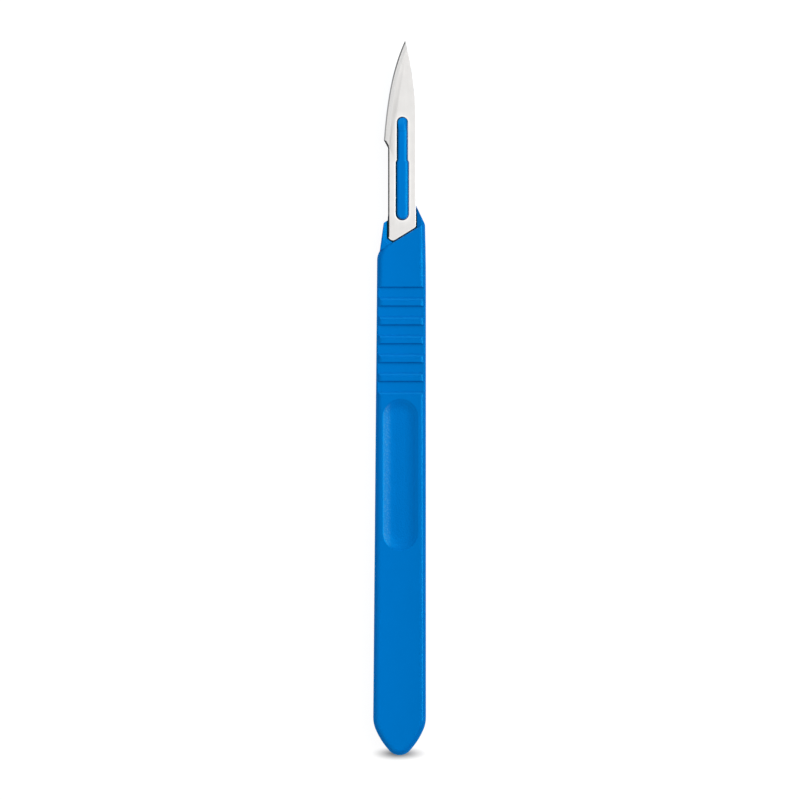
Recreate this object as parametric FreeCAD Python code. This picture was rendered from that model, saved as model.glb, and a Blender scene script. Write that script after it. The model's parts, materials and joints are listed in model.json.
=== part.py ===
import FreeCAD, Part
import math
import os

# A disposable scalpel: a moulded plastic handle with a steel blade fixed in its nose.
# Millimetres and degrees. +Y points to the blade's tip, +X to the blade's blunt back, and +Z out
# of the front face. The scalpel lies on its back face, and the origin is below its middle.
# A heading is an angle from +Y towards +X.

# Handle
handle_width = 11.08
handle_thickness = 4.4
seat_from_tail = 107.9
edge_side_lean = 0.49
spine_ease_from_tail = 98.0
spine_ease_radius = 500.0
spine_corner_from_tail = 111.1
spine_corner_radius = 1.5
side_radius = 1.35

# Pointed tail, a chain of three arcs on each side
tail_tip_radius = 2.9
tail_tip_heading = 43.0
tail_flank_heading = 23.0
tail_shoulder_radius = 6.35
tail_lift = 0.1
tail_lift_run = 8.0

# Grip grooves
groove_count = 6
groove_pitch = 3.95
groove_floor_length = 1.95
groove_depth = 0.45
groove_draft = 28.0
groove_edge_radius = 0.25
groove_ramp_radius = 1.75
groove_ramp_rise = 0.015
first_groove_from_tail = 98.35

# Thumb scoop
scoop_width = 7.45
scoop_length = 31.85
scoop_depth = 0.75
scoop_slope = 22.0
scoop_floor_radius = 4.5
scoop_from_tail = 58.93
scoop_offset = 0.18

# Nose that carries the blade
shoulder_radius = 3.5
shoulder_heading = 33.0
step_edge_radius = 0.2
nose_drop = 0.35
nose_fall = 5.0
nose_reach = 4.6
nose_edge_heading = 7.8
nose_spine_heading = -25.5
nose_corner_radius = 0.6
nose_rim_radius = 0.3
recess_rim_width = 0.8
recess_rim_drop = 0.25

# Tongue behind the blade
tongue_thickness = 1.5
tongue_root_width = 5.8
tongue_tip_width = 5.0
tongue_flare_width = 0.45
tongue_flare_length = 1.9
tongue_end_radius = 1.8
tongue_edge_radius = 0.3
tongue_overreach = 1.0

# Boss through the blade's slot
boss_height = 0.5
boss_shift = 0.09
boss_edge_radius = 0.42
boss_ramp_length = 3.0
boss_ramp_drop = 0.45

# Blade
blade_length = 42.1
blade_thickness = 0.4
shank_width = 5.82
spine_from_middle = 3.42
base_angle = 31.5
base_nip_width = 1.0
base_nip_height = 0.7
base_corner_radius = 0.45
heel_overhang = 0.9
heel_from_base = 21.3
notch_height = 1.65
tip_from_spine = 2.25
spine_curve_from_base = 25.1
edge_heading_at_heel = 4.6
edge_heading_at_tip = 25.0
grind_width = 1.0

# Keyhole slot in the blade
slot_from_spine = 2.82
slot_from_base = 4.4
slot_length = 21.7
slot_wide = 2.82
slot_narrow = 2.36
slot_wide_length = 12.15
slot_neck_length = 0.5
slot_neck_radius = 0.5

# Fits between the handle and the blade
seat_depth = 1.0
seat_gap = 0.27
seat_relief_depth = 0.6
seat_relief_width = 0.1
boss_gap = 0.16

# How far cutters run past what they cut
overcut = 4.0

# Worked out from the sizes above
overall_length = seat_from_tail + blade_length
tail_y = -overall_length / 2
seat_y = tail_y + seat_from_tail
seat_z = handle_thickness - seat_depth
half_width = handle_width / 2
shank_x = spine_from_middle - shank_width
slot_x = spine_from_middle - slot_from_spine
slot_foot_y = seat_y + slot_from_base
slot_head_y = slot_foot_y + slot_length
step_heading = 90 - base_angle
ahead_heading = -base_angle


def at(x, y, z=0.0):
    return FreeCAD.Vector(x, y, z)


def towards(heading):
    angle = math.radians(heading)
    return at(math.sin(angle), math.cos(angle))


def crossing(first, first_heading, second, second_heading):
    """Point in plan where two lines meet, each given by a point and a heading."""
    a = towards(first_heading)
    b = towards(second_heading)
    gap = second - first
    return first + a * ((gap.x * b.y - gap.y * b.x) / (a.x * b.y - a.y * b.x))


def arc_run(radius, start_heading, end_heading):
    """How far an arc carries a point that turns from one heading to another."""
    signed_radius = math.copysign(radius, end_heading - start_heading)
    start = math.radians(start_heading)
    end = math.radians(end_heading)
    return at(math.cos(start) - math.cos(end), math.sin(end) - math.sin(start)) * signed_radius


def arc_edge(start, radius, start_heading, end_heading):
    """Arc that leaves a point on one heading and ends on another."""
    middle = start + arc_run(radius, start_heading, (start_heading + end_heading) / 2)
    return Part.Arc(start, middle, start + arc_run(radius, start_heading, end_heading)).toShape()


def line_edge(start, end):
    return Part.LineSegment(start, end).toShape()


def half_round(start, top, end):
    return Part.Arc(start, top, end).toShape()


def polygon(*points):
    return Part.makePolygon(list(points) + [points[0]])


def prism(outline, bottom, top):
    face = Part.Face(outline)
    face.translate(at(0, 0, bottom))
    return face.extrude(at(0, 0, top - bottom))


def bar_across(*profile):
    """Straight bar across the whole handle, with its profile given in Y and Z."""
    outline = polygon(*[at(-handle_width, y, z) for y, z in profile])
    return Part.Face(outline).extrude(at(2 * handle_width, 0))


def level_edges(solid, z):
    """Edges of a solid that lie wholly at one height."""
    spans = [(edge, edge.BoundBox) for edge in solid.Edges]
    return [edge for edge, span in spans if abs(span.ZMin - z) < 1e-4 and abs(span.ZMax - z) < 1e-4]


def upright_edges(solid, places):
    """Upright edges of a solid that stand at given places in plan."""
    found = []
    for edge in solid.Edges:
        foot = edge.Vertexes[0].Point
        head = edge.Vertexes[-1].Point
        stands = math.hypot(head.x - foot.x, head.y - foot.y) < 1e-4
        if stands and any(math.hypot(foot.x - place.x, foot.y - place.y) < 1e-4 for place in places):
            found.append(edge)
    return found


def turned_over(shape):
    """The same shape on the other face of the handle."""
    return shape.mirror(at(0, 0, handle_thickness / 2), at(0, 0, 1))


# The blade's base line and the step that it lies against

def nip_corners():
    """The two ends of the corner that is nipped off the blade's base."""
    return at(shank_x, seat_y + base_nip_height), at(shank_x + base_nip_width, seat_y)


def spine_foot():
    return crossing(nip_corners()[1], step_heading, at(spine_from_middle, seat_y), 0)


def step_point():
    return nip_corners()[1] - towards(ahead_heading) * seat_gap


def ahead_of_step(place):
    """How far a place lies beyond the step, square to it."""
    return (place - step_point()).dot(towards(ahead_heading))


def around_base(gap):
    """Corners of an outline that keeps a gap round the blade's base and is open towards the tip."""
    nip_heading = math.degrees(math.atan2(base_nip_width, -base_nip_height))
    nip_point = nip_corners()[1] + towards(nip_heading + 90) * gap
    base_point = nip_corners()[1] - towards(ahead_heading) * gap
    nip_top = crossing(at(shank_x - gap, 0), 0, nip_point, nip_heading)
    nip_foot = crossing(nip_point, nip_heading, base_point, step_heading)
    spine_end = crossing(at(spine_from_middle + gap, 0), 0, base_point, step_heading)
    beyond = at(0, overall_length)
    return [nip_top + beyond, nip_top, nip_foot, spine_end, spine_end + beyond]


# Handle's bar

def tail_flank_radius(side_heading):
    """Radius of the middle arc that brings the tail out to the handle's full width."""
    tip, flank, side = [math.cos(math.radians(heading))
                        for heading in (tail_tip_heading, tail_flank_heading, side_heading)]
    return (half_width - tail_tip_radius * tip - tail_shoulder_radius * (side - flank)) / (flank - tip)


def tail_edges(side, side_heading):
    """Arcs from the tail's tip to one long side, and the point where they end."""
    headings = [90.0, tail_tip_heading, tail_flank_heading, side_heading]
    radii = [tail_tip_radius, tail_flank_radius(side_heading), tail_shoulder_radius]
    edges = []
    place = at(0, tail_y)
    for radius, start, end in zip(radii, headings, headings[1:]):
        edges.append(arc_edge(place, radius, side * start, side * end))
        place = place + arc_run(radius, side * start, side * end)
    return edges, place


def spine_corner():
    """Corner where the blunt side turns in to the nose, and the heading there."""
    ease_turn = math.degrees(math.asin((spine_corner_from_tail - spine_ease_from_tail) / spine_ease_radius))
    ease_start = at(half_width, tail_y + spine_ease_from_tail)
    return ease_start + arc_run(spine_ease_radius, 0, -ease_turn), -ease_turn


def shoulder_run():
    return arc_run(shoulder_radius, edge_side_lean, shoulder_heading)


def shoulder_corner():
    """Where the round shoulder on the cutting edge's side ends, on the step."""
    side_start = tail_edges(-1, -edge_side_lean)[1]
    return crossing(side_start + shoulder_run(), edge_side_lean, step_point(), step_heading)


def spine_side():
    """Blunt side from the tail to past the step, and its end."""
    edges, start = tail_edges(1, 0.0)
    ease_start = at(half_width, tail_y + spine_ease_from_tail)
    corner, heading = spine_corner()
    turn_end = corner + arc_run(spine_corner_radius, heading, nose_spine_heading)
    end = turn_end + towards(nose_spine_heading) * overcut
    edges += [line_edge(start, ease_start), arc_edge(ease_start, spine_ease_radius, 0, heading),
              arc_edge(corner, spine_corner_radius, heading, nose_spine_heading), line_edge(turn_end, end)]
    return edges, end


def edge_side():
    """Side of the cutting edge from the tail to past the step, and its end."""
    edges, start = tail_edges(-1, -edge_side_lean)
    corner = shoulder_corner()
    shoulder_start = corner - shoulder_run()
    end = corner + towards(shoulder_heading) * overcut
    edges += [line_edge(start, shoulder_start), line_edge(corner, end),
              arc_edge(shoulder_start, shoulder_radius, edge_side_lean, shoulder_heading)]
    return edges, end


def behind_step():
    """Everything on the tail's side of the step, with the step's edge rounded."""
    along = towards(step_heading) * overall_length
    back = towards(ahead_heading) * -overall_length
    start = step_point() - along
    end = step_point() + along
    block = prism(polygon(start, end, end + back, start + back), -overcut, handle_thickness)
    edges = [edge for edge in level_edges(block, handle_thickness)
             if abs(ahead_of_step(edge.CenterOfMass)) < 1e-4]
    return block.makeFillet(step_edge_radius, edges)


def below_tail():
    """Thin wedge below the tail, which lifts its back clear of what the handle lies on."""
    start = tail_y + tail_lift_run
    beyond = tail_y - tail_lift_run
    return bar_across((start, 0), (beyond, 2 * tail_lift), (beyond, -overcut), (start, -overcut))


def make_bar():
    """Bar with a pointed tail and rounded sides on both faces, cut off along the step."""
    spine_edges, spine_end = spine_side()
    edge_edges, edge_end = edge_side()
    outline = Part.Wire(Part.__sortEdges__(spine_edges + edge_edges + [line_edge(spine_end, edge_end)]))
    bar = prism(outline, 0, handle_thickness)
    bar = bar.makeFillet(side_radius, level_edges(bar, 0) + level_edges(bar, handle_thickness))
    return bar.cut(below_tail()).common(behind_step())


# Grip grooves and thumb scoops, alike on both faces

def groove_trough(number):
    """Cutter for a groove, and the rounded ridge that leaves it a ramp up towards the tail."""
    front = tail_y + first_groove_from_tail - number * groove_pitch
    lean = math.tan(math.radians(groove_draft))
    floor_z = handle_thickness - groove_depth
    top_z = handle_thickness + overcut
    floor_front = front - lean * groove_depth
    climb = groove_depth + groove_ramp_rise
    crest = floor_front - groove_floor_length - math.sqrt(2 * groove_ramp_radius * climb - climb ** 2)
    trough = bar_across((front + lean * overcut, top_z), (floor_front, floor_z), (crest, floor_z), (crest, top_z))
    ridge_start = at(-handle_width, crest, handle_thickness + groove_ramp_rise - groove_ramp_radius)
    ridge = Part.makeCylinder(groove_ramp_radius, 2 * handle_width, ridge_start, at(1, 0))
    return trough, trough.common(ridge)


def scoop_outline(outset, z):
    """Round-ended outline of the scoop along the handle, grown by an outset."""
    radius = scoop_width / 2 + outset
    side = at(radius, 0)
    end = at(0, (scoop_length - scoop_width) / 2)
    cap = at(0, radius)
    middle = at(scoop_offset, tail_y + scoop_from_tail, z)
    return Part.Wire([line_edge(middle + side - end, middle + side + end),
                      half_round(middle + side + end, middle + end + cap, middle - side + end),
                      line_edge(middle - side + end, middle - side - end),
                      half_round(middle - side - end, middle - end - cap, middle + side - end)])


def scoop_cutter():
    """Shallow dish with round ends, whose sloping sides run into its floor in a wide curve."""
    outset = scoop_depth / math.tan(math.radians(scoop_slope))
    floor_z = handle_thickness - scoop_depth
    outlines = [scoop_outline(-outset, floor_z), scoop_outline(outset, handle_thickness + scoop_depth)]
    dish = Part.makeLoft(outlines, True, True)
    return dish.makeFillet(scoop_floor_radius, level_edges(dish, floor_z))


def groove_side_edges(solid):
    """Edges where the floors of the grooves meet the handle's rounded sides."""
    floors = level_edges(solid, groove_depth) + level_edges(solid, handle_thickness - groove_depth)
    return [edge for edge in floors if edge.BoundBox.YLength > edge.BoundBox.XLength]


def cut_grips(bar):
    troughs, ridges = zip(*[groove_trough(number) for number in range(groove_count)])
    cutters = list(troughs) + [scoop_cutter()]
    cutters += [turned_over(cutter) for cutter in cutters]
    ramps = [bar.common(ridge) for ridge in ridges]
    ramps += [bar.common(turned_over(ridge)) for ridge in ridges]
    grooved = bar.cut(cutters)
    grooved = grooved.makeFillet(groove_edge_radius, groove_side_edges(grooved))
    return grooved.fuse(ramps).removeSplitter()


# Nose

def nose_corners():
    """Corners of the nose between the step and its parallel end, from the edge side round."""
    end_point = step_point() + towards(ahead_heading) * nose_reach
    edge_root = shoulder_corner()
    edge_tip = crossing(edge_root, nose_edge_heading, end_point, step_heading)
    corner = spine_corner()[0] + arc_run(spine_corner_radius, spine_corner()[1], nose_spine_heading)
    spine_tip = crossing(corner, nose_spine_heading, end_point, step_heading)
    spine_root = crossing(corner, nose_spine_heading, step_point(), step_heading)
    return edge_root, edge_tip, spine_tip, spine_root


def nose_top(reach):
    """Height of the nose's falling top at a distance beyond the step."""
    return handle_thickness - nose_drop - reach * math.tan(math.radians(nose_fall))


def nose_section():
    """Side view of the nose, square to the step, run out along the step."""
    root = step_point() - towards(step_heading) * overall_length
    end = root + towards(ahead_heading) * nose_reach
    up = at(0, 0, 1)
    outline = polygon(root, root + up * nose_top(0), end + up * nose_top(nose_reach),
                      end + up * (seat_z - tongue_thickness))
    return Part.Face(outline).extrude(towards(step_heading) * 2 * overall_length)


def rim_edges(nose):
    """Edges round the nose's falling top, apart from the one on the step."""
    rims = []
    for edge in nose.Edges:
        places = [vertex.Point for vertex in edge.Vertexes] + [edge.CenterOfMass]
        on_top = all(abs(place.z - nose_top(ahead_of_step(place))) < 1e-2 for place in places)
        if on_top and ahead_of_step(edge.CenterOfMass) > 1e-2:
            rims.append(edge)
    return rims


def level_with_nose(places, rise):
    """Outline through places in plan, at a height above the nose's falling top."""
    return polygon(*[at(place.x, place.y, nose_top(ahead_of_step(place)) + rise) for place in places])


def make_nose():
    """Stepped-down nose with a ramp behind, and a recess in the form of the blade's base."""
    corners = nose_corners()
    block = prism(polygon(*corners), -overcut, handle_thickness + overcut)
    block = block.makeFillet(nose_corner_radius, upright_edges(block, [corners[1]]))
    nose = block.common(nose_section())
    nose = nose.makeFillet(nose_rim_radius, rim_edges(nose))
    recess = prism(polygon(*around_base(seat_gap)), seat_z, handle_thickness + overcut)
    rim_foot = level_with_nose(around_base(seat_gap), -recess_rim_drop)
    above_rim = level_with_nose(around_base(seat_gap + 2 * recess_rim_width), recess_rim_drop)
    return nose.cut([recess, Part.makeLoft([rim_foot, above_rim], True, True)])


# Tongue and boss

def make_tongue():
    """Flat tapering tongue with a round end and a flared root, behind the blade."""
    middle = at((shank_x + spine_from_middle) / 2, 0)
    root = middle + at(0, seat_y + base_nip_height)
    neck = middle + at(0, nose_corners()[1].y + tongue_flare_length)
    tip = middle + at(0, slot_head_y + tongue_overreach)
    half_flare = at(tongue_root_width / 2 + tongue_flare_width, 0)
    half_neck = at(tongue_root_width / 2, 0)
    half_tip = at(tongue_tip_width / 2, 0)
    plan = polygon(root - half_flare, neck - half_neck, tip - half_tip, tip + half_tip, neck + half_neck,
                   root + half_flare)
    tongue = prism(plan, seat_z - tongue_thickness, seat_z)
    tongue = tongue.makeFillet(tongue_end_radius, upright_edges(tongue, [tip - half_tip, tip + half_tip]))
    return tongue.makeFillet(tongue_edge_radius, level_edges(tongue, seat_z - tongue_thickness))


def slot_body(inset, bottom, top):
    """Upright body with the keyhole slot's outline, narrowed by an inset all round."""
    wide = at(slot_wide / 2 - inset, 0)
    narrow = at(slot_narrow / 2 - inset, 0)
    foot = at(slot_x, slot_foot_y + slot_wide / 2)
    neck = at(slot_x, slot_foot_y + slot_wide_length)
    waist = neck + at(0, slot_neck_length)
    head = at(slot_x, slot_head_y - slot_narrow / 2)
    outline = Part.Wire([half_round(foot - wide, foot - at(0, wide.x), foot + wide),
                         line_edge(foot + wide, neck + wide),
                         line_edge(neck + wide, waist + narrow),
                         line_edge(waist + narrow, head + narrow),
                         half_round(head + narrow, head + at(0, narrow.x), head - narrow),
                         line_edge(head - narrow, waist - narrow),
                         line_edge(waist - narrow, neck - wide),
                         line_edge(neck - wide, foot - wide)])
    body = prism(outline, bottom, top)
    bends = [neck + wide, waist + narrow, waist - narrow, neck - wide]
    return body.makeFillet(slot_neck_radius, upright_edges(body, bends))


def make_boss():
    """Boss that fills the blade's slot, with a rounded top and a ramp at its tip end."""
    top = seat_z + blade_thickness + boss_height
    ramp_start = slot_head_y - boss_ramp_length
    ramp_end = slot_head_y + overcut
    ramp_end_z = top - boss_ramp_drop * (ramp_end - ramp_start) / boss_ramp_length
    boss = slot_body(boss_gap, seat_z - tongue_thickness / 2, top)
    boss = boss.makeFillet(boss_edge_radius, level_edges(boss, top))
    boss.translate(at(boss_shift, 0))
    return boss.cut(bar_across((ramp_start, top), (ramp_end, ramp_end_z), (ramp_end, top + overcut),
                               (ramp_start, top + overcut)))


def seat_relief():
    """Narrow channel in the nose's seat, round the blade's base and just under its rim."""
    floor_z = seat_z - seat_relief_depth
    channel = prism(polygon(*around_base(seat_gap)), floor_z, seat_z)
    channel = channel.cut(prism(polygon(*around_base(-seat_relief_width)), floor_z - overcut, handle_thickness))
    return channel.common(prism(polygon(*nose_corners()), 0, handle_thickness))


def boss_relief():
    """Narrow channel in the tongue, all round the boss and below the slot."""
    boss = slot_body(boss_gap, 0, handle_thickness)
    boss.translate(at(boss_shift, 0))
    return slot_body(0, seat_z - seat_relief_depth, handle_thickness).cut(boss)


def make_handle():
    bar = cut_grips(make_bar())
    tongue = make_tongue().cut(boss_relief())
    return bar.fuse([make_nose(), tongue, make_boss()]).removeSplitter().cut(seat_relief())


# Blade

def blade_tip():
    return at(spine_from_middle - tip_from_spine, seat_y + blade_length)


def blade_heel():
    return at(shank_x - heel_overhang, seat_y + heel_from_base)


def spine_curve(start):
    """Arc from the end of the straight blunt back to the tip."""
    rise = blade_tip().y - start.y
    radius = (rise ** 2 + tip_from_spine ** 2) / (2 * tip_from_spine)
    return arc_edge(start, radius, 0, -math.degrees(math.asin(rise / radius)))


def cutting_edge():
    """Belly of the blade from the heel to the tip."""
    heel = blade_heel()
    tip = blade_tip()
    third = heel.distanceToPoint(tip) / 3
    curve = Part.BezierCurve()
    curve.setPoles([heel, heel + towards(edge_heading_at_heel) * third,
                    tip - towards(edge_heading_at_tip) * third, tip])
    return curve.toShape()


def grind_cutter():
    """Wedge that leaves the front half of the blade thinning to its cutting edge."""
    run_in = blade_heel() - towards(edge_heading_at_heel) * notch_height
    run_out = blade_tip() + towards(edge_heading_at_tip) * notch_height
    aside = at(-handle_width, 0)
    outline = Part.Wire([line_edge(run_in, blade_heel()), cutting_edge(), line_edge(blade_tip(), run_out),
                         line_edge(run_out, run_out + aside), line_edge(run_out + aside, run_in + aside),
                         line_edge(run_in + aside, run_in)])
    wedge = Part.Face(outline)
    wedge.translate(at(0, 0, seat_z + blade_thickness / 2))
    return wedge.extrude(at(2 * grind_width, 0, blade_thickness))


def make_blade():
    """Flat blade with a slanting base, a keyhole slot and an edge ground from both faces."""
    nip_top, nip_foot = nip_corners()
    curve_start = at(spine_from_middle, seat_y + spine_curve_from_base)
    notch = at(shank_x, blade_heel().y - notch_height)
    outline = Part.Wire([line_edge(nip_foot, spine_foot()), line_edge(spine_foot(), curve_start),
                         spine_curve(curve_start), cutting_edge(), line_edge(blade_heel(), notch),
                         line_edge(notch, nip_top), line_edge(nip_top, nip_foot)])
    blade = prism(outline, seat_z, seat_z + blade_thickness)
    blade = blade.makeFillet(base_corner_radius, upright_edges(blade, [spine_foot(), nip_top, nip_foot]))
    front_grind = grind_cutter()
    back_grind = front_grind.mirror(at(0, 0, seat_z + blade_thickness / 2), at(0, 0, 1))
    return blade.cut([slot_body(0, 0, handle_thickness), front_grind, back_grind])


def write_parts():
    os.makedirs("parts", exist_ok=True)
    for name, make in (("handle", make_handle), ("blade", make_blade)):
        shape = make()
        print(name, "valid" if shape.isValid() else "not valid", round(shape.Volume, 3), "mm3")
        shape.exportStep("parts/" + name + ".step")


write_parts()
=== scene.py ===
import json
import math

import bmesh
import bpy
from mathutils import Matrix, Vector
from mathutils.geometry import interpolate_bezier

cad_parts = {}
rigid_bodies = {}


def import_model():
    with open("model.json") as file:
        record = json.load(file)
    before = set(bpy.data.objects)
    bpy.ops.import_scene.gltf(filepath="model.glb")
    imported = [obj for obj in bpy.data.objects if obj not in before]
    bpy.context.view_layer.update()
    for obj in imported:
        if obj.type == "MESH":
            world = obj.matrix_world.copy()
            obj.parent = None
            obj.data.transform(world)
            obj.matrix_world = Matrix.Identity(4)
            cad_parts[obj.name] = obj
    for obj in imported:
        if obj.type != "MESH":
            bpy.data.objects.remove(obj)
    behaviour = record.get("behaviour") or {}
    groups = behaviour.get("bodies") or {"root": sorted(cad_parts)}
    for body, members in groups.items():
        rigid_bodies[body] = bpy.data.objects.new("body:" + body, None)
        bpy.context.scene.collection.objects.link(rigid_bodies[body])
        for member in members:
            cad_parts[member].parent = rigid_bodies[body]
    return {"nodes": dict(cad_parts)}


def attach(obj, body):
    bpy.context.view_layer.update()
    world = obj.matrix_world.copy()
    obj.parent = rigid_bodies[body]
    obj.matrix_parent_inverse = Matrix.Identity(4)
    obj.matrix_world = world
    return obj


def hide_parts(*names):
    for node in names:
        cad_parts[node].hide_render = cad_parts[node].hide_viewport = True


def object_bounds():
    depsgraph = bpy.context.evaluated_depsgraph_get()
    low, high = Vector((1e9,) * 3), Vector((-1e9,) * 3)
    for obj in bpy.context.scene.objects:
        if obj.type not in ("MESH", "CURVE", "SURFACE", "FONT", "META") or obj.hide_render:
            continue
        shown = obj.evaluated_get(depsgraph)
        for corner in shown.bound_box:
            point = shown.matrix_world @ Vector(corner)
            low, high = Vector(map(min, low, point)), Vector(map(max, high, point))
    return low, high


for leftover in list(bpy.data.objects):
    bpy.data.objects.remove(leftover)
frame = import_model()
cad_low, cad_high = [list(corner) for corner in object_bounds()]


# The lights.
# Plain white air and four soft panels aimed at the scalpel: one hangs overhead, the brightest stands
# beyond the blade's blunt side, one beyond its tip and a weak one beyond its sharp side.
def soft_panel(name, place, width, height, power):
    light = bpy.data.lights.new(name, "AREA")
    light.shape = "RECTANGLE"
    light.size = width
    light.size_y = height
    light.energy = power
    panel = bpy.data.objects.new(name, light)
    panel.location = place
    panel.rotation_euler = Vector(place).to_track_quat("Z", "Y").to_euler()
    bpy.context.collection.objects.link(panel)


soft_panel("overhead_panel", (0.0, 0.04, 1.05), 1.05, 1.05, 3.1)
soft_panel("side_panel", (0.415, 0.11, 0.415), 0.64, 0.21, 2.8)
soft_panel("tip_panel", (0.0, 0.50, 0.36), 0.8, 0.2, 1.3)
soft_panel("fill_panel", (-0.36, -0.28, 0.39), 0.8, 0.5, 0.9)

world = bpy.data.worlds.new("studio_air")
bpy.context.scene.world = world
world.use_nodes = True
air = world.node_tree.nodes["Background"]
air.inputs["Color"].default_value = (1.0, 1.0, 1.0, 1.0)
air.inputs["Strength"].default_value = 0.13


# The table.
# A plain white top that the scalpel lies on. It glows white for the camera, less so round the tail, where a
# soft shadow is painted in and the scalpel's own shadow is seen, and shiny sides mirror it in a painted
# blue reflection.
TAIL_Y = -75.0
SHADOW_HALF_WIDTH = 6.3
SHADOW_HALF_LENGTH = 1.6
TABLE_GLOW = 0.91


class Shade:
    """A number or colour in a node tree, with sums written as plain arithmetic."""

    def __init__(self, tree, socket=None):
        self.tree = tree
        self.socket = socket

    def node(self, kind, settings=None, **values):
        """Any node, with its settings made first and then its inputs, by name or place."""
        made = self.tree.nodes.new(kind)
        for name, value in (settings or {}).items():
            setattr(made, name, value)
        for name, value in values.items():
            key = int(name[1:]) if name[0] == "i" and name[1:].isdigit() else name.replace("_", " ")
            if isinstance(value, Shade):
                self.tree.links.new(value.socket, made.inputs[key])
            else:
                made.inputs[key].default_value = value
        return made

    def made_by(self, node, output=0):
        return Shade(self.tree, node.outputs[output])

    def maths(self, operation, *others):
        """One sum of this value, taken first, and others."""
        values = (self,) + others
        made = self.node("ShaderNodeMath", {"operation": operation},
                         **{f"i{place}": value for place, value in enumerate(values)})
        return self.made_by(made)

    def __add__(self, other):
        return self.maths("ADD", other)

    def __sub__(self, other):
        return self.maths("SUBTRACT", other)

    def __mul__(self, other):
        return self.maths("MULTIPLY", other)

    def __truediv__(self, other):
        return self.maths("DIVIDE", other)

    def __radd__(self, other):
        return self.maths("ADD", other)

    def __rsub__(self, other):
        return self.maths("MULTIPLY", -1.0).maths("ADD", other)

    def __rmul__(self, other):
        return self.maths("MULTIPLY", other)

    def on_object(self):
        return self.made_by(self.node("ShaderNodeTexCoord"), "Object")

    def position_in_mm(self):
        """The place on the piece, as three values in millimetres."""
        parts = self.node("ShaderNodeSeparateXYZ", i0=self.on_object())
        return [self.made_by(parts, axis) * 1000.0 for axis in range(3)]

    def noise(self, per_mm, detail=2.0, stretch=(1.0, 1.0, 1.0)):
        """Noise from 0 to 1, with this many lumps to a millimetre along each axis."""
        scale = [per_mm * 1000.0 * share for share in stretch]
        scaled = self.node("ShaderNodeMapping", i0=self.on_object(), Scale=scale)
        made = self.node("ShaderNodeTexNoise", Vector=self.made_by(scaled), Scale=1.0, Detail=detail)
        return self.made_by(made)

    def ramp(self, start, end):
        """0 up to a start value and 1 from an end value on, and smooth between."""
        made = self.node("ShaderNodeMapRange", {"interpolation_type": "SMOOTHSTEP"}, Value=self,
                         From_Min=start, From_Max=end)
        return self.made_by(made)

    def blend(self, share, first, second):
        made = self.node("ShaderNodeMix", {"data_type": "RGBA"}, i0=share, i6=first, i7=second)
        return self.made_by(made, 2)

    def shade_of(self, tone, colour):
        """A colour made darker by a tone under 1."""
        return self.blend(tone, (0.0, 0.0, 0.0, 1.0), colour)

    def relief(self, microns):
        """A surface normal for a height in thousandths of a millimetre."""
        made = self.node("ShaderNodeBump", Strength=1.0, Distance=0.000001, Height=microns)
        return self.made_by(made)

    def finish(self, surface):
        self.node("ShaderNodeOutputMaterial", Surface=self.made_by(surface))


def new_material(name):
    """An empty material, and a Shade to start sums from."""
    material = bpy.data.materials.new(name)
    material.use_nodes = True
    material.node_tree.nodes.clear()
    return material, Shade(material.node_tree)


table_material, table = new_material("white_table")
x, y, z = table.position_in_mm()
across = x / SHADOW_HALF_WIDTH
along = (y - TAIL_Y) / SHADOW_HALF_LENGTH
from_tail = (across * across + along * along).maths("SQRT")
rays = table.node("ShaderNodeLightPath")
seen = table.made_by(rays, "Is Camera Ray")
mirrored = table.made_by(rays, "Is Glossy Ray")
# Painted reflection: reflections see the table blue, other light sees it grey.
grey_and_painted_blue_reflection = table.blend(mirrored, (0.8, 0.8, 0.8, 1.0), (0.0, 0.55, 0.9, 1.0))
# Painted shadow: round the tail the glow is cut and the grey raised, so a soft dark spot shows there.
painted_tail_shadow_grey = table.blend(from_tail.ramp(0.3, 1.05), (0.34, 0.335, 0.33, 1.0), (0.15, 0.15, 0.15, 1.0))
diffuse = table.node("ShaderNodeBsdfDiffuse", Color=table.blend(seen, grey_and_painted_blue_reflection, painted_tail_shadow_grey))
glow_with_painted_tail_shadow = seen * from_tail.ramp(0.1, 1.05) * TABLE_GLOW
glow = table.node("ShaderNodeEmission", Color=(1.0, 1.0, 1.0, 1.0), Strength=glow_with_painted_tail_shadow)
table.finish(table.node("ShaderNodeAddShader", i0=table.made_by(diffuse), i1=table.made_by(glow)))

table_mesh = bmesh.new()
bmesh.ops.create_grid(table_mesh, x_segments=1, y_segments=1, size=3.0)
table_data = bpy.data.meshes.new("table_top")
table_mesh.to_mesh(table_data)
table_mesh.free()
table_top = bpy.data.objects.new("table_top", table_data)
bpy.context.collection.objects.link(table_top)
table_data.materials.append(table_material)


# The camera.
# It looks straight down on the scalpel's front face through a long lens, from so far that the picture
# is as wide as the photo at the height of that face.
MM = 0.001
PHOTO_WIDTH = 167.7 * MM
LENS = 150.0
SENSOR = 36.0
camera_data = bpy.data.cameras.new("photo_camera")
camera_data.lens = LENS
camera_data.sensor_width = SENSOR
camera = bpy.data.objects.new("photo_camera", camera_data)
camera.location = (0.09 * MM, -0.42 * MM, PHOTO_WIDTH * LENS / SENSOR + cad_high[2])
bpy.context.collection.objects.link(camera)
bpy.context.scene.camera = camera
bpy.context.scene.view_settings.view_transform = "Standard"


# The handle.
# One moulding in blue plastic with a soft sheen. Its colour is very slightly uneven, its skin has a
# fine grain that is coarser in the thumb scoops, and the mould's parting line runs round its side.
PARTING_Z = 2.2
SCOOP_X = 0.18
SCOOP_Y = -16.07
SCOOP_HALF_RUN = 12.2
SCOOP_RADIUS = 3.7
SLOT_X = 0.57
SLOT_WIDE_HALF = 1.41
SLOT_NARROW_HALF = 1.18
SLOT_FOOT_Y = 37.3
SLOT_STEP_Y = (49.45, 49.95)
SLOT_TOP_Y = 59.0
BASE_MIDDLE_X = 0.51
BASE_HALF_WIDTH = 2.91
BASE_FOOT = (-1.40, 32.9)
BOSS_SIDE_GAP = 0.04
BOSS_ROUNDING = 1.16
BOSS_RAMP_Y = 56.0


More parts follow.
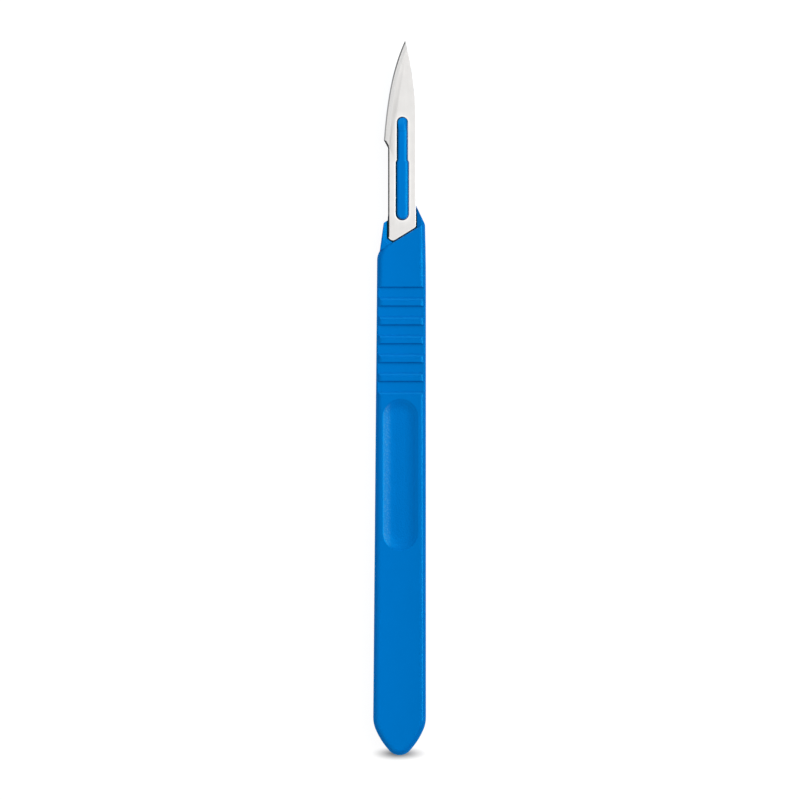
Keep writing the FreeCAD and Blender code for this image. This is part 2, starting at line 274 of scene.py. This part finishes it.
def round_ended(x, y, middle_x, middle_y, half_run):
    """Distance from the straight line in the middle of a round-ended outline along the handle."""
    past_end = ((y - middle_y).maths("ABSOLUTE") - half_run).maths("MAXIMUM", 0.0)
    return ((x - middle_x) * (x - middle_x) + past_end * past_end).maths("SQRT")


def slot_half_width(y):
    return SLOT_WIDE_HALF - y.ramp(*SLOT_STEP_Y) * (SLOT_WIDE_HALF - SLOT_NARROW_HALF)


def outside_slot(x, y):
    """Distance outside the blade's slot, less than nothing inside."""
    low_end = SLOT_FOOT_Y + SLOT_WIDE_HALF
    high_end = SLOT_TOP_Y - SLOT_NARROW_HALF
    middle = round_ended(x, y, SLOT_X, (low_end + high_end) / 2.0, (high_end - low_end) / 2.0)
    return middle - slot_half_width(y)


def outside_base(x, y):
    """Distance outside the blade's straight sides, its slanting base and the nipped corner."""
    aside = (x - BASE_MIDDLE_X).maths("ABSOLUTE") - BASE_HALF_WIDTH
    behind = (x - BASE_FOOT[0]) * 0.5225 - (y - BASE_FOOT[1]) * 0.8526
    nipped = (x - BASE_FOOT[0]) * -0.5735 - (y - BASE_FOOT[1]) * 0.8192
    return aside.maths("MAXIMUM", behind).maths("MAXIMUM", nipped)


plastic, blue = new_material("blue_plastic")
x, y, z = blue.position_in_mm()
clouds = blue.noise(0.35, detail=2.0)
grain = blue.noise(9.0, detail=3.0)
pits = blue.noise(3.0, detail=2.0)
seam = (z - PARTING_Z).maths("ABSOLUTE").ramp(0.06, 0.0)

# The thumb scoops, whose coarse skin sparkles; on their sharp side that light is painted in as whiter
# flecks.
from_scoop = round_ended(x, y, SCOOP_X, SCOOP_Y, SCOOP_HALF_RUN)
in_scoop = from_scoop.ramp(SCOOP_RADIUS, SCOOP_RADIUS - 0.8)
painted_sparkle = from_scoop.ramp(SCOOP_RADIUS, SCOOP_RADIUS - 0.25) * x.ramp(-1.6, -2.8)
painted_sparkle = painted_sparkle * (0.3 + pits.ramp(0.52, 0.62) * 0.7)

# The narrow gaps round the blade's base and round the boss in its slot, where little light gets in, are
# painted darker as shade.
in_slot = outside_slot(x, y).ramp(0.05, 0.0)
from_base = outside_base(x, y)
round_base = from_base.ramp(-0.15, -0.10) * from_base.ramp(0.33, 0.28) * y.ramp(38.5, 38.0)
painted_gap_shade = in_slot.maths("MAXIMUM", round_base) * z.ramp(3.9, 3.4)

# The boss, rounded over along one side, painted darker along its very edge as shade, and ramping down at
# its end, where a painted shade line marks the crease.
on_boss = z.ramp(3.7, 3.85) * in_slot
inside_boss = SLOT_X - BOSS_SIDE_GAP + slot_half_width(y) - x
fall = (BOSS_ROUNDING - inside_boss.maths("MAXIMUM", 0.3)).maths("MAXIMUM", 0.0)
painted_side_shade = on_boss * inside_boss.ramp(0.34, 0.16)
up_ramp = (y - BOSS_RAMP_Y).maths("MAXIMUM", 0.0)
painted_crease_shade = on_boss * (y - BOSS_RAMP_Y).maths("ABSOLUTE").ramp(0.22, 0.0)

# Painted light in the tone: the face is painted lighter towards its left and the boss's top lighter.
tone = clouds * 0.044 + grain * 0.018 + 0.84 - seam * 0.09 - x * 0.007 + on_boss * 0.05 - painted_crease_shade * 0.14
tone = tone * (1.0 - painted_gap_shade * 0.85) * (1.0 - painted_side_shade * 0.6)
colour = blue.shade_of(tone, (0.0, 0.165, 0.581, 1.0))
colour = blue.blend(painted_sparkle * 0.12, colour, (0.28, 0.50, 0.45, 1.0))
skin = grain * (0.8 + in_scoop * 4.0) + pits * in_scoop * 60.0 + seam * 5.0 + x * x * 4.0
skin = skin - on_boss * (fall * fall * 330.0 + up_ramp * up_ramp * 60.0)
blue.finish(blue.node("ShaderNodeBsdfPrincipled", Base_Color=colour, Normal=blue.relief(skin),
                      Roughness=0.21 + clouds * 0.04 + in_scoop * 0.14,
                      Specular_Tint=(0.0, 0.6, 1.0, 1.0)))
handle = frame["nodes"]["handle"]
handle.material_slots[0].material = plastic


# The blade.
# It is stamped from stainless strip 0.4 mm thick and ground from both faces to a curved edge with a
# fine second bevel. Its keyhole slot holds it on the boss, with its base against the nose's step.
BLADE_HALF = 0.2
BLADE_MIDDLE = 3.6
SHANK_X = -2.40
SPINE_X = 3.42
SPINE_BEND_Y = 58.0
SPINE_RADIUS = 65.347
SPINE_STEPS = 16
FOOT_CORNERS = [(SHANK_X, 33.6), BASE_FOOT, (SPINE_X, 35.854)]
NOTCH_Y = 52.45
NOTCH_CHAMFER = 0.43
NOTCH_STEPS = 8
HEEL = Vector((-3.30, 54.1, 0.0))
HEEL_LEAN = 4.6
TIP = Vector((1.17, 75.0, 0.0))
TIP_LEAN = 25.0
EDGE_PULL = 7.092
EDGE_POINTS = 44
GRIND_WIDTH = 1.033
FINE_BEVEL_WIDTH = 0.28
FINE_BEVEL_RISE = 0.085
RIM_BREAK = 0.035
SHANK_BREAK = 0.27
SHANK_FOOT_Y = 33.9


def heading(degrees):
    return Vector((math.sin(math.radians(degrees)), math.cos(math.radians(degrees)), 0.0))


def spine_x(y):
    """Blunt back of the blade, straight and then curving in to the tip."""
    past = max(0.0, y - SPINE_BEND_Y)
    return SPINE_X - SPINE_RADIUS + math.sqrt(SPINE_RADIUS ** 2 - past ** 2)


def ground_row(edge_x, y, side_x, chamfer=0.0):
    """Upper half of one cut across the ground side, from the middle of the thickness to the flat."""
    main_rise = (BLADE_HALF - FINE_BEVEL_RISE) / (GRIND_WIDTH - FINE_BEVEL_WIDTH)

    def height(x):
        run = x - edge_x
        fine = FINE_BEVEL_RISE * run / FINE_BEVEL_WIDTH
        return min(BLADE_HALF, fine, FINE_BEVEL_RISE + main_rise * (run - FINE_BEVEL_WIDTH))

    wall_x = side_x + chamfer
    spine = max(spine_x(y), edge_x)
    middle_x = max(wall_x, min(edge_x + FINE_BEVEL_WIDTH, spine))
    flat_x = max(middle_x, min(edge_x + GRIND_WIDTH, spine))
    row = [Vector((side_x, y, 0.0))]
    row += [Vector((x, y, height(x))) for x in (wall_x, middle_x, flat_x)]
    if flat_x == spine:
        row.append(Vector((flat_x, y, 0.0)))
    return row


def run_rows(mesh, rows):
    """A strip through rows of points, each row drawn out from the one before."""
    points = [mesh.verts.new(place) for place in rows[0]]
    edges = [mesh.edges.new(pair) for pair in zip(points, points[1:])]
    for row in rows[1:]:
        drawn = bmesh.ops.extrude_edge_only(mesh, edges=edges)["geom"]
        fresh = {vert for vert in drawn if isinstance(vert, bmesh.types.BMVert)}
        following = []
        for point in points:
            following.append(next(edge.other_vert(point) for edge in point.link_edges
                                  if edge.other_vert(point) in fresh))
        for point, place in zip(following, row):
            point.co = place
        points = following
        edges = [mesh.edges.get(pair) for pair in zip(points, points[1:])]


def closed_outline(mesh, places):
    points = [mesh.verts.new(place) for place in places]
    for place, point in enumerate(points):
        mesh.edges.new((point, points[place - 1]))
    return points


def put_in_order(mesh):
    """Points, edges and faces sorted by place, because some operators leave them in a chance order."""
    for place, vert in enumerate(sorted(mesh.verts, key=lambda vert: tuple(vert.co))):
        vert.index = place
    mesh.verts.sort()
    for parts in (mesh.edges, mesh.faces):
        by_place = sorted(parts, key=lambda part: sorted(vert.index for vert in part.verts))
        for place, part in enumerate(by_place):
            part.index = place
        parts.sort()


def round_corners(mesh, corners, size, segments):
    bmesh.ops.bevel(mesh, geom=corners, offset=size, offset_type="OFFSET", segments=segments, profile=0.5,
                    affect="VERTICES", material=-1)


# The ground side, in rows from the notch to the tip. From the crossing on, the slopes are too wide for
# the blade that is left, and the rows run right across it.
belly = interpolate_bezier(HEEL, HEEL + heading(HEEL_LEAN) * EDGE_PULL,
                           TIP - heading(TIP_LEAN) * EDGE_PULL, TIP, EDGE_POINTS)
rows = []
for step in range(NOTCH_STEPS):
    y = NOTCH_Y + (HEEL.y - NOTCH_Y) * step / NOTCH_STEPS
    side = SHANK_X + (HEEL.x - SHANK_X) * step / NOTCH_STEPS
    edge_x = HEEL.x - math.tan(math.radians(HEEL_LEAN)) * (HEEL.y - y)
    rows.append(ground_row(edge_x, y, side, NOTCH_CHAMFER * min(1.0, step / 2)))
crossing = next(place for place, point in enumerate(belly) if spine_x(point.y) - point.x < GRIND_WIDTH)
low, high = belly[crossing - 1], belly[crossing]
gap_low = spine_x(low.y) - low.x - GRIND_WIDTH
gap_high = spine_x(high.y) - high.x - GRIND_WIDTH
meeting = low.lerp(high, gap_low / (gap_low - gap_high))
flat_rows = rows + [ground_row(point.x, point.y, point.x)[:4] for point in belly[:crossing]]
flat_rows.append(ground_row(meeting.x, meeting.y, meeting.x)[:4])
tip_rows = [flat_rows[-1] + [Vector((flat_rows[-1][3].x, meeting.y, 0.0))]]
tip_rows += [ground_row(point.x, point.y, point.x) for point in belly[crossing:-1]]
tip_rows.append([TIP.copy() for place in range(5)])

blade_mesh = bmesh.new()
run_rows(blade_mesh, flat_rows)
run_rows(blade_mesh, tip_rows)

# The flat face inside its outline and round the slot, then its walls, then the other half.
outline = [Vector((x, y, BLADE_HALF)) for x, y in FOOT_CORNERS]
for step in range(SPINE_STEPS + 1):
    y = SPINE_BEND_Y + (meeting.y - SPINE_BEND_Y) * step / SPINE_STEPS
    outline.append(Vector((spine_x(y), y, BLADE_HALF)))
outline += [row[3].copy() for row in reversed(flat_rows[:-1])]
points = closed_outline(blade_mesh, outline)
for corner, size in zip(points[:3], (0.30, 0.50, 0.35)):
    round_corners(blade_mesh, [corner], size, 6)

wide_left, wide_right = SLOT_X - SLOT_WIDE_HALF, SLOT_X + SLOT_WIDE_HALF
narrow_left, narrow_right = SLOT_X - SLOT_NARROW_HALF, SLOT_X + SLOT_NARROW_HALF
slot = [(wide_left, SLOT_FOOT_Y), (wide_right, SLOT_FOOT_Y), (wide_right, SLOT_STEP_Y[0]),
        (narrow_right, SLOT_STEP_Y[1]), (narrow_right, SLOT_TOP_Y), (narrow_left, SLOT_TOP_Y),
        (narrow_left, SLOT_STEP_Y[1]), (wide_left, SLOT_STEP_Y[0])]
points = closed_outline(blade_mesh, [Vector((x, y, BLADE_HALF)) for x, y in slot])
round_corners(blade_mesh, points[0:2], 1.4095, 12)
round_corners(blade_mesh, points[4:6], 1.1795, 12)
round_corners(blade_mesh, points[2:4] + points[6:8], 0.1, 12)

loose = [edge for edge in blade_mesh.edges if not edge.link_faces]
bmesh.ops.triangle_fill(blade_mesh, edges=loose, use_beauty=True, use_dissolve=False)
bmesh.ops.remove_doubles(blade_mesh, verts=blade_mesh.verts, dist=0.0015)
put_in_order(blade_mesh)
walls = [edge for edge in blade_mesh.edges
         if len(edge.link_faces) == 1 and all(abs(vert.co.z - BLADE_HALF) < 1e-4 for vert in edge.verts)]
for vert in bmesh.ops.extrude_edge_only(blade_mesh, edges=walls)["geom"]:
    if isinstance(vert, bmesh.types.BMVert):
        vert.co.z = 0.0
bmesh.ops.remove_doubles(blade_mesh, verts=blade_mesh.verts, dist=0.0015)
put_in_order(blade_mesh)
bmesh.ops.mirror(blade_mesh, geom=blade_mesh.verts[:] + blade_mesh.edges[:] + blade_mesh.faces[:], axis="Z",
                 merge_dist=0.0005)
bmesh.ops.remove_doubles(blade_mesh, verts=blade_mesh.verts, dist=0.0005)
put_in_order(blade_mesh)
bmesh.ops.dissolve_limit(blade_mesh, angle_limit=math.radians(0.3), verts=blade_mesh.verts,
                         edges=blade_mesh.edges, delimit={"NORMAL"})
bmesh.ops.recalc_face_normals(blade_mesh, faces=blade_mesh.faces)

# The rims of the face are broken a little, and the shank's side more.
rims = [edge for edge in blade_mesh.edges if len(edge.link_faces) == 2
        and min(abs(face.normal.z) for face in edge.link_faces) < 0.1
        and max(abs(face.normal.z) for face in edge.link_faces) > 0.99]
bmesh.ops.bevel(blade_mesh, geom=rims, offset=RIM_BREAK, offset_type="OFFSET", segments=2, profile=0.5,
                affect="EDGES", material=-1, clamp_overlap=True)
put_in_order(blade_mesh)
SATIN, GROUND, HONED, SHEARED_AND_PAINTED_DARK = range(4)
for face in blade_mesh.faces:
    face.smooth = True
    middle = face.calc_center_median()
    tilt = math.degrees(math.acos(min(1.0, abs(face.normal.z))))
    notch_share = max(0.0, min(1.0, (middle.y - NOTCH_Y) / (HEEL.y - NOTCH_Y)))
    from_side = middle.x - SHANK_X - (HEEL.x - SHANK_X) * notch_share
    in_notch = NOTCH_Y < middle.y < HEEL.y and from_side < 0.6 * NOTCH_CHAMFER
    # The notch's slope and the shank's broken side take the cut-side steel, painted nearly black as shade.
    if in_notch or tilt > 85.0 or (middle.y < NOTCH_Y and from_side < RIM_BREAK and tilt > 2.0):
        face.material_index = SHEARED_AND_PAINTED_DARK
    elif tilt > 2.0 and middle.y > NOTCH_Y and middle.x < spine_x(middle.y) - RIM_BREAK:
        face.material_index = HONED if tilt > 12.0 else GROUND
for vert in blade_mesh.verts:
    to_break = SHANK_X + SHANK_BREAK - vert.co.x
    on_side = vert.co.x < SHANK_X + 1.5 * RIM_BREAK and vert.co.y < NOTCH_Y + 0.1
    on_corner = to_break > 0.0 and vert.co.y < SHANK_FOOT_Y
    if on_side or on_corner:
        past = (abs(vert.co.z) - BLADE_HALF + RIM_BREAK) / RIM_BREAK
        vert.co.x += min(SHANK_BREAK - RIM_BREAK, to_break) * max(0.0, past)
for edge in blade_mesh.edges:
    flats = len(edge.link_faces) == 2 and min(abs(face.normal.z) for face in edge.link_faces) > 0.9
    edge.smooth = edge.calc_face_angle(0.0) < math.radians(2.0 if flats else 35.0)
bmesh.ops.translate(blade_mesh, vec=(0.0, 0.0, BLADE_MIDDLE), verts=blade_mesh.verts)
bmesh.ops.scale(blade_mesh, vec=(MM, MM, MM), verts=blade_mesh.verts)
blade_data = bpy.data.meshes.new("scalpel_blade")
blade_mesh.to_mesh(blade_data)
blade_mesh.free()
blade = bpy.data.objects.new("scalpel_blade", blade_data)
bpy.context.collection.objects.link(blade)

# Rolled and tumbled faces: a little cloudy, with faint streaks along the blade, and polished smoother round
# the slot and along the straight sides and the base, where a lighter glint is painted in.
satin_steel, satin = new_material("satin_steel")
x, y, z = satin.position_in_mm()
clouds = satin.noise(0.5, detail=3.0)
streaks = satin.noise(2.2, detail=2.0, stretch=(1.0, 0.06, 1.0))
from_slot = outside_slot(x, y)
polish_and_painted_glint = (from_slot.ramp(0.45, 0.22) * 0.7).maths("MAXIMUM", outside_base(x, y).ramp(-0.35, -0.10) * 0.6)
polish_and_painted_glint = polish_and_painted_glint + from_slot.ramp(1.6, 0.3) * 0.3
tone = clouds * 0.09 + streaks * 0.045 + 0.74 + polish_and_painted_glint * 0.15
satin.finish(satin.node("ShaderNodeBsdfPrincipled", Metallic=1.0, Normal=satin.relief(streaks * 3.0),
                        Base_Color=satin.shade_of(tone, (0.95, 0.935, 0.918, 1.0)),
                        Roughness=0.40 + clouds * 0.08 - polish_and_painted_glint * 0.08))

# Ground slopes of the edge, with fine lines left across them by the wheel.
ground_steel, ground = new_material("ground_steel")
lines = ground.noise(11.0, detail=2.0, stretch=(0.05, 1.0, 0.05))
clouds = ground.noise(0.9, detail=2.0)
tone = lines * 0.10 + clouds * 0.06 + 0.88
ground.finish(ground.node("ShaderNodeBsdfPrincipled", Metallic=1.0, Normal=ground.relief(lines * 3.0),
                          Base_Color=ground.shade_of(tone, (0.87, 0.86, 0.85, 1.0)),
                          Roughness=0.38 + clouds * 0.06))

# The fine bevel that makes the edge itself, darker, more so towards the tip, and crossed by the same lines.
honed_steel, honed = new_material("honed_steel")
lines = honed.noise(14.0, detail=2.0, stretch=(0.05, 1.0, 0.05))
x, y, z = honed.position_in_mm()
tone = lines * 0.12 + 0.94 - y.ramp(62.0, 74.5) * 0.62
honed.finish(honed.node("ShaderNodeBsdfPrincipled", Metallic=1.0, Roughness=0.34 + lines * 0.04,
                        Base_Color=honed.shade_of(tone, (0.63, 0.63, 0.635, 1.0))))

# Cut sides from the stamping, duller, and painted nearly black as shade, also on the notch's slope and the
# shank's broken side.
sheared_steel_painted_dark, sheared = new_material("sheared_steel_painted_dark")
torn = sheared.noise(5.0, detail=3.0, stretch=(1.0, 0.5, 1.0))
tone = torn * 0.4 + 0.8
sheared.finish(sheared.node("ShaderNodeBsdfPrincipled", Metallic=1.0, Normal=sheared.relief(torn * 8.0),
                            Base_Color=sheared.shade_of(tone, (0.075, 0.075, 0.078, 1.0)),
                            Roughness=0.5 + torn * 0.1))

for steel in (satin_steel, ground_steel, honed_steel, sheared_steel_painted_dark):
    blade_data.materials.append(steel)
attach(blade, "root")
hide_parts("blade")
